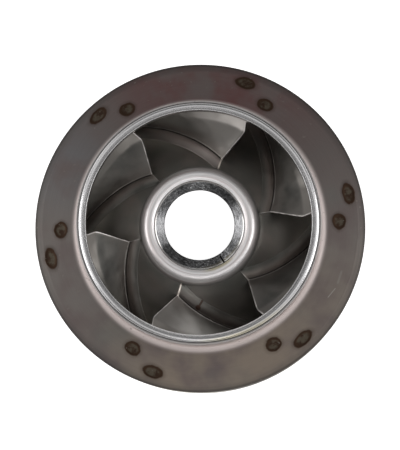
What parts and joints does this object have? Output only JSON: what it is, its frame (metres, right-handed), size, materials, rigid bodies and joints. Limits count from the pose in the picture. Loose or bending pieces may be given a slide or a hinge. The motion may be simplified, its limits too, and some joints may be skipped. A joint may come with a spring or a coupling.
{
  "type": "pump impeller",
  "caption": "Closed centrifugal pump impeller of pressed stainless sheet, with swept vanes between two shrouds, a raised neck around the suction eye and a turned hub bush.",
  "frame": {"origin": "on the floor, at the centre of the hub bush's rear face", "axes": "+Z along the shaft's axis towards the suction eye; +X and +Y are the right and the top of the picture"},
  "size_m": [0.14, 0.14, 0.044],
  "materials": {
    "tinted_sheet": "pressed and heat tinted",
    "turned_ring": "fine turned",
    "turned_bush": "fine turned",
    "vane_sheet": "pressed sheet, stained"
  },
  "bodies": {
    "root": {"front_shroud": "tinted_sheet", "back_shroud": "tinted_sheet", "neck_ring": "turned_ring", "hub_bush": "turned_bush", "vane_1": "vane_sheet", "vane_2": "vane_sheet", "vane_3": "vane_sheet", "vane_4": "vane_sheet", "vane_5": "vane_sheet", "vane_6": "vane_sheet"}
  },
  "joints": []
}
